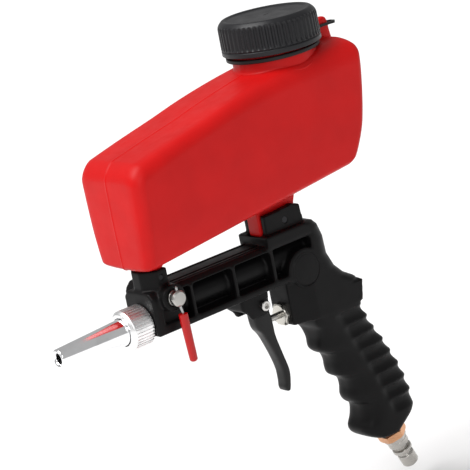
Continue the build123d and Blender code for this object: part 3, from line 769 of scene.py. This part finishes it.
class BLASTGUN_OT_body(bpy.types.Operator):
    """Build the body moulding with its grip, hub discs and top rails"""
    bl_idname = "blastgun.body"
    bl_label = "Body"

    def execute(self, context):
        sizes = context.scene.blast_gun_sizes
        black = finishes().body
        shell = body_mesh(sizes.rib_depth / MM, sizes.body_cell)
        shell.data.materials.clear()
        shell.data.materials.append(black)
        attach(shell, "frame")
        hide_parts("barrel_housing", "gun_body", "hand_grip")
        for side, name in ((-1, "hub_disc_near"), (1, "hub_disc_far")):
            face = soft_profile([(0, 0, 0), (0.0, 9.6, 0.2), (-0.45, 10.1, 0.2), (-0.45, 10.6, 0.2),
                                 (0.15, 10.9, 0.2), (-0.6, 11.6, 0), (-1.5, 11.6, 0), (-1.5, 0, 0)], 4)
            disc = turned(face, (182.9, side * (BODY_HALF + 0.15), -3.6), (0, side, 0), 96)
            make_piece(name, *disc, "frame", black, slot="body_plastic")
        rails = [block_between((80.2, y - w, 19.2), (156.6, y + w, 19.8 + h), 0.25)
                 for y, w, h in ((0, 4.6, 0.5), (-8.2, 0.6, 0.45), (8.2, 0.6, 0.45))]
        make_piece("beam_rails", *merged(*rails), "frame", black, slot="body_plastic")
        return {"FINISHED"}


# ---- nozzle ----
def nut_surface(flutes):
    """The hand nut: a turned ring with rounded flutes cut along it behind a plain front rim."""
    front, rear = NUT_LOW[0], NUT_HIGH[0]
    profile = soft_profile([
        (front + 1.6, 8.9, 0), (front, 9.1, 0.25), (front, 11.2, 0.5), (front + 1.7, 12.9, 0.7),
        (front + 2.7, 12.9, 0.2), (front + 2.9, 12.95, 0.1), (rear - 0.9, 12.95, 0.3),
        (rear, 12.3, 0.3), (rear, 11.1, 0.2), (front + 1.6, 11.1, 0.2), (front + 1.6, 8.9, 0)], 6)

    def flute(angle, along, radius):
        lobe = np.clip(0.75 + 1.15 * np.cos(angle * flutes), 0, 1)
        zone = ease(along, front + 2.6, front + 3.2) * (radius > 12.0)
        return radius - 0.75 * (1 - lobe) * zone

    return turned(profile, (0, 0, 0), (1, 0, 0), flutes * 14, flute)


class BLASTGUN_OT_nozzle(bpy.types.Operator):
    """Build the tapered nozzle and its hand nut"""
    bl_idname = "blastgun.nozzle"
    bl_label = "Nozzle"

    def execute(self, context):
        profile = soft_profile([
            (42, 3.3, 0), (1.2, 3.3, 0.4), (0.35, 4.0, 0.3), (0.0, 4.8, 0.3), (0.0, 5.3, 0.3),
            (0.7, 6.08, 0.6), (47.6, 8.5, 0), (49.5, 8.5, 0.1), (49.5, 10.4, 0.3), (52.0, 10.4, 0.3),
            (52.0, 4.6, 0.3), (46, 4.6, 0), (42, 3.3, 0)], 6)
        make_piece("nozzle_body", *turned(profile, (0, 0, 0), (1, 0, 0), 128), "nozzle",
                   finishes().nozzle, ("blast_nozzle",), "nozzle_metal", 30)
        flutes = context.scene.blast_gun_sizes.nut_flutes
        make_piece("nozzle_hand_nut", *nut_surface(flutes), "nut", finishes().aluminium,
                   ("nozzle_nut",), "nut_aluminium", 30)
        return {"FINISHED"}


# ---- sand valve ----
class BLASTGUN_OT_sand_valve(bpy.types.Operator):
    """Build the sand valve's plug, wire lever and sleeve"""
    bl_idname = "blastgun.sand_valve"
    bl_label = "Sand valve"

    def execute(self, context):
        near, far, r = SPINDLE_LOW[1], SPINDLE_HIGH[1], 5.0
        profile = soft_profile([
            (near, 0, 0), (near, r - 0.95, 0.15), (near + 0.95, r, 0.15), (near + 4.2, r, 0.1),
            (near + 4.5, r - 0.35, 0.1), (near + 4.9, r, 0.1),
            (far - 4.2, r, 0), (far - 4.2, 3.8, 0), (far - 1.7, 3.8, 0), (far - 1.7, r, 0),
            (far - 0.4, r, 0.2), (far, r - 0.5, 0.2), (far, 0, 0)], 6)
        centre = (SPINDLE[0], 0, SPINDLE[2])
        make_piece("valve_plug", *turned(profile, centre, (0, 1, 0), 96), "sand_valve",
                   finishes().steel, ("sand_valve_spindle",), "steel", 30)
        x, y = WIRE[0], WIRE[1]
        line = smooth_curve([(x + 0.2, y, WIRE_HIGH[2]), (x + 0.3, y, 18.5), (x + 0.4, y, 14),
                             (x + 0.5, y, 9), (x + 1.3, y, 4), (x + 1.4, y, -2), (x + 1.6, y, -9),
                             (x + 1.9, y, -19)], 90)
        t = np.linspace(0, 1, 90)
        round_end = np.sqrt(np.clip(1 - (1 - np.minimum(t, 1 - t) / 0.03).clip(0, 1) ** 2, 0, 1))
        make_piece("valve_wire", *carried(line, 0.85 * round_end, 24), "sand_valve", finishes().wire,
                   ("lever_wire",), "spring_steel", 60)
        line = smooth_curve([(x + 1.3, y, 4.2), (x + 1.35, y, 2), (x + 1.5, y, -6), (x + 1.7, y, -14),
                             (x + 1.95, y, -22), (x + 2.1, y, -27.2)], 120)
        t = np.linspace(0, 1, 120)
        width = 3.0 - 0.5 * t - 0.12 * np.exp(-((t - 0.1) / 0.05) ** 2)
        ends = np.minimum(t / 0.035, (1 - t) / 0.075).clip(0, 1)
        width = width * np.sqrt(np.clip(1 - (1 - ends) ** 2, 0, 1))
        make_piece("valve_sleeve", *carried(line, width, 48), "sand_valve", finishes().vinyl,
                   ("lever_sleeve",), "vinyl", 60)
        return {"FINISHED"}


# ---- trigger ----
def trigger_surface():
    """The trigger: rounded oblong sections between its front and back lines, a little narrower and
    rounded off at the tip."""
    front = smooth_curve([(147.0, -9.7), (143.9, -11.6), (143.3, -17), (143.3, -27), (144.4, -32.5),
                          (148.2, -38.6), (153.3, -51.8), (156.6, -63.8), (156.9, -72.5), (156.5, -76.4),
                          (157.2, -78.6), (158.2, -79.2)], 150)
    back = smooth_curve([(149.0, -9.7), (152.6, -11.4), (154.6, -17), (156.5, -27), (157.0, -34.5),
                         (157.3, -41), (159.6, -52.5), (162.0, -63), (162.3, -68), (161.3, -74.0),
                         (160.2, -77.6), (158.7, -79.2)], 150)
    t = np.linspace(0, 1, 150)
    half = 5.2 - 0.4 * ease(t, 0.7, 1.0)
    half = half * np.sqrt(np.clip(1 - ((t - 0.93) / 0.075).clip(0, 1) ** 2, 0.0, 1))
    return between(front, back, half, 4.4 - 0.9 * ease(t, 0.3, 0.5), 72)


class BLASTGUN_OT_trigger(bpy.types.Operator):
    """Build the trigger, its pivot screw and the nut on the far side"""
    bl_idname = "blastgun.trigger"
    bl_label = "Trigger"

    def execute(self, context):
        make_piece("trigger_lever", *trigger_surface(), "trigger", finishes().trigger, ("trigger",),
                   "trigger_plastic", 60)
        x, z, face, end = PIVOT[0], PIVOT[2], SCREW_LOW[1], SCREW_HIGH[1]

        def socket(angle, along, radius):
            near = (angle + math.pi / 6) % (math.pi / 3) - math.pi / 6
            return np.where(radius < 2.0, radius * 0.9 / np.cos(near), radius)

        profile = soft_profile([
            (face + 1.9, 0, 0), (face + 1.9, 1.7, 0), (face + 0.15, 1.75, 0.1), (face, 2.05, 0.1),
            (face, 2.9, 0.3), (face + 0.45, 3.35, 0.35), (face + 3.2, 3.35, 0.1), (face + 3.2, 2.0, 0),
            (end - 0.4, 2.0, 0.2), (end, 1.6, 0.2), (end, 0, 0)], 5)
        make_piece("trigger_pivot_screw", *turned(profile, (x, 0, z), (0, 1, 0), 96, socket), "frame",
                   finishes().bright, ("trigger_screw",), "screw_steel", 30)
        low, high = node_box("trigger_nut")
        low, high = low[1], high[1]
        nut = soft_profile([(low, 2.05, 0), (low, 3.6, 0), (low + 0.5, 4.2, 0.2), (high - 0.5, 4.2, 0.2),
                            (high, 3.6, 0.1), (high, 2.05, 0), (low, 2.05, 0)], 4)
        nut = turned(nut, (x, 0, z), (0, 1, 0), 96, hexagon(3.46, 0.05))
        make_piece("trigger_pivot_nut", *nut, "frame", finishes().bright, ("trigger_nut",),
                   "screw_steel", 25)
        return {"FINISHED"}


# ---- air valve and inlet ----
class BLASTGUN_OT_air_parts(bpy.types.Operator):
    """Build the gland nut, the brass bushing and the quick-release plug"""
    bl_idname = "blastgun.air_parts"
    bl_label = "Air parts"

    def execute(self, context):
        front, rear, z = GLAND_LOW[0], GLAND_HIGH[0], (GLAND_LOW[2] + GLAND_HIGH[2]) / 2
        gland = soft_profile([
            (front, 2.3, 0), (front, 6.4, 0.2), (front + 0.75, 8.3, 0.3), (front + 3.0, 8.3, 0),
            (front + 3.0, 5.45, 0), (rear, 5.45, 0.2), (rear, 2.3, 0), (front, 2.3, 0)], 5)
        make_piece("gland_nut", *turned(gland, (0, 0, z), (1, 0, 0), 96, hexagon(7.0, 0.15)), "frame",
                   finishes().nickel, ("valve_nut",), "nickel", 25)
        bush = soft_profile([
            (-20, 4.55, 0), (-20, 6.4, 0.3), (3.4, 6.4, 0), (3.4, 9.6, 0.2), (4.2, 10.6, 0.3),
            (7.8, 10.6, 0.3), (8.6, 9.6, 0.2), (8.6, 4.55, 0), (-20, 4.55, 0)], 5)
        make_piece("inlet_bushing", *turned(bush, INLET, GRIP_AXIS, 120, hexagon(9.0, 0.15)), "frame",
                   finishes().brass, ("air_inlet_fitting",), "brass", 25)
        collar = soft_profile([(8.7, 2.7, 0), (8.7, 7.6, 0.2), (9.3, 8.3, 0.3), (12.0, 8.3, 0.3),
                               (12.6, 7.4, 0.2), (12.6, 2.7, 0), (8.7, 2.7, 0)], 5)
        nose = soft_profile([
            (-6, 2.6, 0), (-6, 4.4, 0), (12.7, 4.4, 0), (12.7, 7.0, 0.2), (13.1, 7.2, 0.3),
            (16.9, 7.2, 0.3), (17.4, 6.7, 0.3), (17.6, 4.9, 0.4), (20.1, 4.9, 0.4), (20.2, 6.3, 0.3),
            (20.8, 6.9, 0.4),
            (22.7, 6.9, 0.4), (23.3, 6.1, 0.4), (23.6, 4.6, 0.5), (25.4, 4.6, 0.6), (26.4, 5.85, 0.5),
            (34.2, 5.85, 0.5), (35.3, 5.0, 0.5), (35.4, 3.3, 0.3), (34.6, 2.6, 0.3), (-6, 2.6, 0)], 6)
        plug = merged(turned(collar, INLET, GRIP_AXIS, 96, hexagon(7.1, 0.12)),
                      turned(nose, INLET, GRIP_AXIS, 96))
        make_piece("quick_plug", *plug, "frame", finishes().plug, ("air_plug",), "nickel", 25)
        return {"FINISHED"}


def coil_surface():
    """The poppet's return spring: a round wire wound about the air valve's axis."""
    low, high = node_box("valve_spring")
    wire, turns = 0.45, 4.67
    t = np.linspace(0, 1, 300)
    angle = 2 * math.pi * turns * t
    radius, z = (high[1] - low[1]) / 2 - wire, (low[2] + high[2]) / 2
    length = high[0] - low[0] - 2 * wire
    path = np.stack([low[0] + wire + length * t, radius * np.cos(angle), z + radius * np.sin(angle)], 1)
    outward = np.stack([0 * t, np.cos(angle), np.sin(angle)], 1)
    along = np.stack([length + 0 * t, -2 * math.pi * turns * radius * np.sin(angle),
                      2 * math.pi * turns * radius * np.cos(angle)], 1)
    sideways = np.cross(along / np.linalg.norm(along, axis=1)[:, None], outward)
    around = np.arange(16) * (2 * math.pi / 16)
    points = path[:, None] + wire * (np.cos(around)[:, None] * outward[:, None]
                                     + np.sin(around)[:, None] * sideways[:, None])
    return points.reshape(-1, 3), grid_quads(len(t), 16)


class BLASTGUN_OT_small_parts(bpy.types.Operator):
    """Give the frame's inner parts and fasteners their finishes, and build the valve's spring"""
    bl_idname = "blastgun.small_parts"
    bl_label = "Small parts"

    def execute(self, context):
        f = finishes()
        looks = {
            f.rubber: ("cap_seal", "hopper_outlet_seal", "nozzle_seal", "jet_seal", "spindle_seals",
                       "valve_nut_seal", "inlet_seal", "valve_poppet"),
            f.brass: ("air_jet", "valve_seat"), f.steel: ("valve_pin",),
            f.black_steel: ("spindle_grub_screw", "front_foot_screws", "rear_foot_pin"),
        }
        for material, names in looks.items():
            for name in names:
                NODES[name].data.materials.clear()
                NODES[name].data.materials.append(material)
        spring = make_piece("valve_return_spring", *coil_surface(), "frame", f.wire, ("valve_spring",),
                            "spring_steel", 60)
        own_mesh(spring)
        return {"FINISHED"}


# ---- stage ----
CAMERA_AZIMUTH, CAMERA_ELEVATION, CAMERA_ROLL = (math.radians(a) for a in (-35.5, 14.8, 11.6))
FLOOR_RADIUS, FLOOR_DROP = 14.0, 0.012     # metres, and how far the floor lies under the gun
CAMERA_AIM, CAMERA_DISTANCE, CAMERA_LENS = (0.1442, 0.0, 0.0306), 1.3, 159.3


def add_sun(name, towards, spread, strength):
    """A sun that shines from a direction, as wide as the given angle in degrees."""
    light = bpy.data.lights.new(name, "SUN")
    light.angle, light.energy = math.radians(spread), strength
    lamp = bpy.data.objects.new(name, light)
    lamp.rotation_euler = Vector(towards).to_track_quat("Z", "Y").to_euler()
    bpy.context.scene.collection.objects.link(lamp)


def add_light(name, place, aim, size, watts):
    """A soft square light at a place, turned to an aim."""
    light = bpy.data.lights.new(name, "AREA")
    light.shape, light.size, light.energy = "SQUARE", size, watts
    lamp = bpy.data.objects.new(name, light)
    lamp.location = place
    lamp.rotation_euler = (Vector(aim) - Vector(place)).to_track_quat("-Z", "Y").to_euler()
    bpy.context.scene.collection.objects.link(lamp)


class BLASTGUN_OT_stage(bpy.types.Operator):
    """Set the floor, lights and camera"""
    bl_idname = "blastgun.stage"
    bl_label = "Stage"

    def execute(self, context):
        scene = context.scene
        a, e, roll = CAMERA_AZIMUTH, CAMERA_ELEVATION, CAMERA_ROLL
        back = Vector((math.sin(a) * math.cos(e), -math.cos(a) * math.cos(e), math.sin(e)))
        right = Vector((math.cos(a), math.sin(a), 0))
        up = back.cross(right)
        side = math.cos(roll) * right - math.sin(roll) * up
        top = math.sin(roll) * right + math.cos(roll) * up
        camera = bpy.data.cameras.new("camera")
        camera.lens, camera.sensor_width = CAMERA_LENS, 36.0
        camera.clip_start, camera.clip_end = 0.01, 100.0
        eye = bpy.data.objects.new("camera", camera)
        eye.matrix_world = Matrix.Translation(Vector(CAMERA_AIM) + back * CAMERA_DISTANCE) @ Matrix(
            (side, top, back)).transposed().to_4x4()
        scene.collection.objects.link(eye)
        scene.camera = eye
        world = bpy.data.worlds.new("pale_room")
        world.use_nodes = True
        world.node_tree.nodes["Background"].inputs["Color"].default_value = (1.0, 1.0, 1.0, 1)
        world.node_tree.nodes["Background"].inputs["Strength"].default_value = 0.42
        scene.world = world
        scene.view_settings.view_transform = "Standard"
        rings, sides = 60, 96
        radius = np.linspace(0, FLOOR_RADIUS, rings)[:, None]
        angle = np.arange(sides) * (2 * math.pi / sides)
        x, y = radius * np.cos(angle) + 0.14, radius * np.sin(angle)
        z = CAD_BOX[0][2] - FLOOR_DROP + 0 * x
        mesh = bpy.data.meshes.new("floor")
        mesh.from_pydata(np.stack([x, y, z], -1).reshape(-1, 3)[sides - 1:], [], floor_faces(rings, sides))
        material, shader = start_material("floor_pale", (0.86, 0.86, 0.86), 0.7)
        vary_roughness(material, shader, noise(material, 6, 2), 0.6, 0.8)
        mesh.materials.append(material)
        floor = bpy.data.objects.new("floor", mesh)
        scene.collection.objects.link(floor)
        add_sun("key_sun", (-0.5, 0.1, 0.86), 40, 3.5)
        add_light("side_light", (-0.7, -1.3, 0.75), (0.13, 0, 0.03), 0.5, 5)
        return {"FINISHED"}


def floor_faces(rows, sides):
    """Faces of a round floor: triangles at its middle point, quads outside them."""
    k = np.arange(sides)
    fan = np.stack([0 * k, 1 + k, 1 + (k + 1) % sides], 1)
    return fan.tolist() + (grid_quads(rows - 1, sides) + 1).tolist()


class BLASTGUN_PT_panel(bpy.types.Panel):
    """The gun's sizes, colours and pieces"""
    bl_label = "Blast Gun"
    bl_idname = "BLASTGUN_PT_panel"
    bl_space_type = "VIEW_3D"
    bl_region_type = "UI"
    bl_category = "Blast Gun"

    def draw(self, context):
        layout = self.layout
        for group in (context.scene.blast_gun_sizes, context.scene.blast_gun_colours):
            for key in group.bl_rna.properties.keys():
                if key not in ("rna_type", "name"):
                    layout.prop(group, key)
        for operator in OPERATORS:
            layout.operator(operator.bl_idname)


OPERATORS = (
    BLASTGUN_OT_stage, BLASTGUN_OT_hopper, BLASTGUN_OT_cap, BLASTGUN_OT_body, BLASTGUN_OT_nozzle,
    BLASTGUN_OT_sand_valve, BLASTGUN_OT_trigger, BLASTGUN_OT_air_parts, BLASTGUN_OT_small_parts)
CLASSES = (BlastGunSizes, BlastGunColours, *OPERATORS, BLASTGUN_PT_panel)


def register():
    """Adds the classes and the scene's settings."""
    for cls in CLASSES:
        bpy.utils.register_class(cls)
    bpy.types.Scene.blast_gun_sizes = PointerProperty(type=BlastGunSizes)
    bpy.types.Scene.blast_gun_colours = PointerProperty(type=BlastGunColours)


def unregister():
    """Takes the settings and classes away again."""
    del bpy.types.Scene.blast_gun_colours
    del bpy.types.Scene.blast_gun_sizes
    for cls in reversed(CLASSES):
        bpy.utils.unregister_class(cls)


def main():
    """Builds every piece."""
    register()
    for operator in OPERATORS:
        group, call = operator.bl_idname.split(".")
        if getattr(getattr(bpy.ops, group), call)() != {"FINISHED"}:
            raise RuntimeError(f"{operator.bl_label} didn't finish")


if __name__ == "__main__":
    main()
